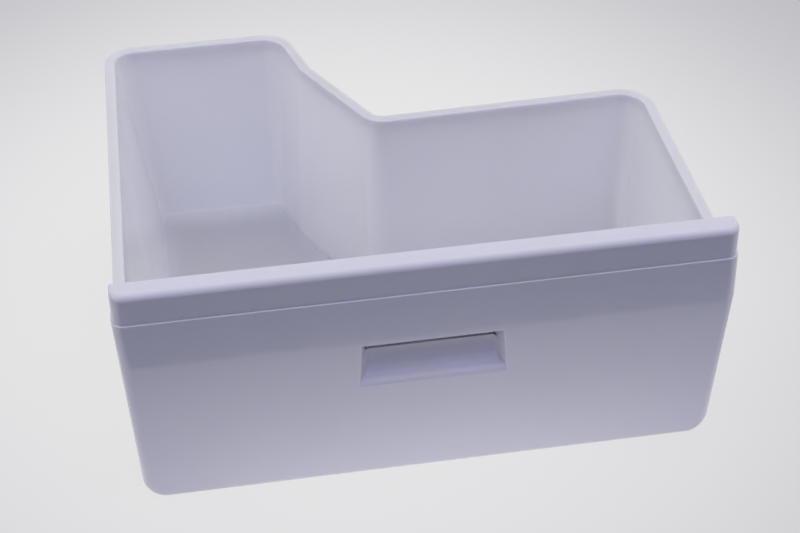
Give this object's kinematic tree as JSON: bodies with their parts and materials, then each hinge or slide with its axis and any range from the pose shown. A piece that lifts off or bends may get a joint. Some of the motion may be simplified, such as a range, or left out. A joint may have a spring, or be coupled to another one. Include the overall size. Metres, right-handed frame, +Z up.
{
  "type": "fridge drawer",
  "caption": "Deep white plastic freezer drawer with an L-shaped tapered bin, a flat rim flange and a hooked-on tray-shaped front panel with a scooped finger pull.",
  "frame": {"origin": "middle of the footprint's bounding box, at the height of the front panel's lower edge", "axes": "+X runs across the front to the right as the user faces the drawer, +Y runs from the front panel to the rear rim, +Z is up"},
  "size_m": [0.442, 0.342, 0.19],
  "materials": {
    "bin_polystyrene": "satin moulded polystyrene, white with a cool cast",
    "panel_polystyrene": "satin moulded polystyrene, white with a cool cast"
  },
  "bodies": {
    "root": {"bin": "bin_polystyrene", "front_panel": "panel_polystyrene"}
  },
  "joints": []
}
